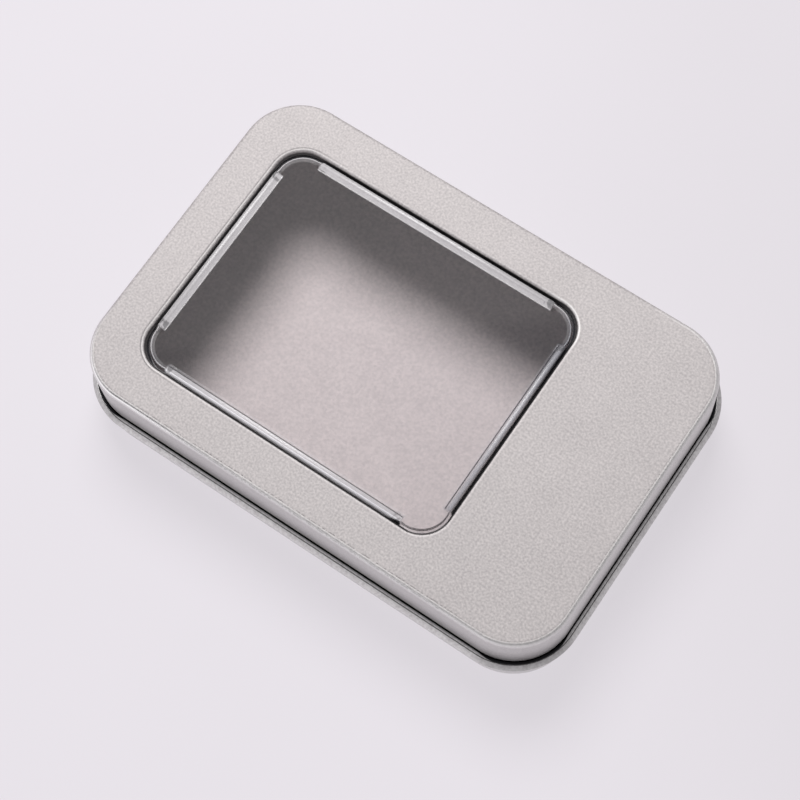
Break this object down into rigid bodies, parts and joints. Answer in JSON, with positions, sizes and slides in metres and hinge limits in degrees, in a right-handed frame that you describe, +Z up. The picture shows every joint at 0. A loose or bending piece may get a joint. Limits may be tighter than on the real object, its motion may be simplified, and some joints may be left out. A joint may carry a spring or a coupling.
{
  "type": "window lid tin",
  "caption": "Flat rectangular slip-lid tin in satin tinplate, with a clear snap-in window over most of its lid.",
  "frame": {"origin": "centre of the footprint over the bead, on the surface that the tin stands on", "axes": "+X along the length towards the blank end of the lid, +Y across the width, +Z up"},
  "size_m": [0.089, 0.0612, 0.018],
  "materials": {
    "tinplate": "sandy satin tinplate",
    "clear_film": "clear gloss film"
  },
  "bodies": {
    "base": {"base_shell": "tinplate"},
    "lid": {"lid_shell": "tinplate", "window_pane": "clear_film"}
  },
  "joints": [
    {"name": "lid_lift", "type": "slide", "parent": "base", "child": "lid", "axis": [0, 0, 1], "range_m": [0, 0.04]}
  ]
}
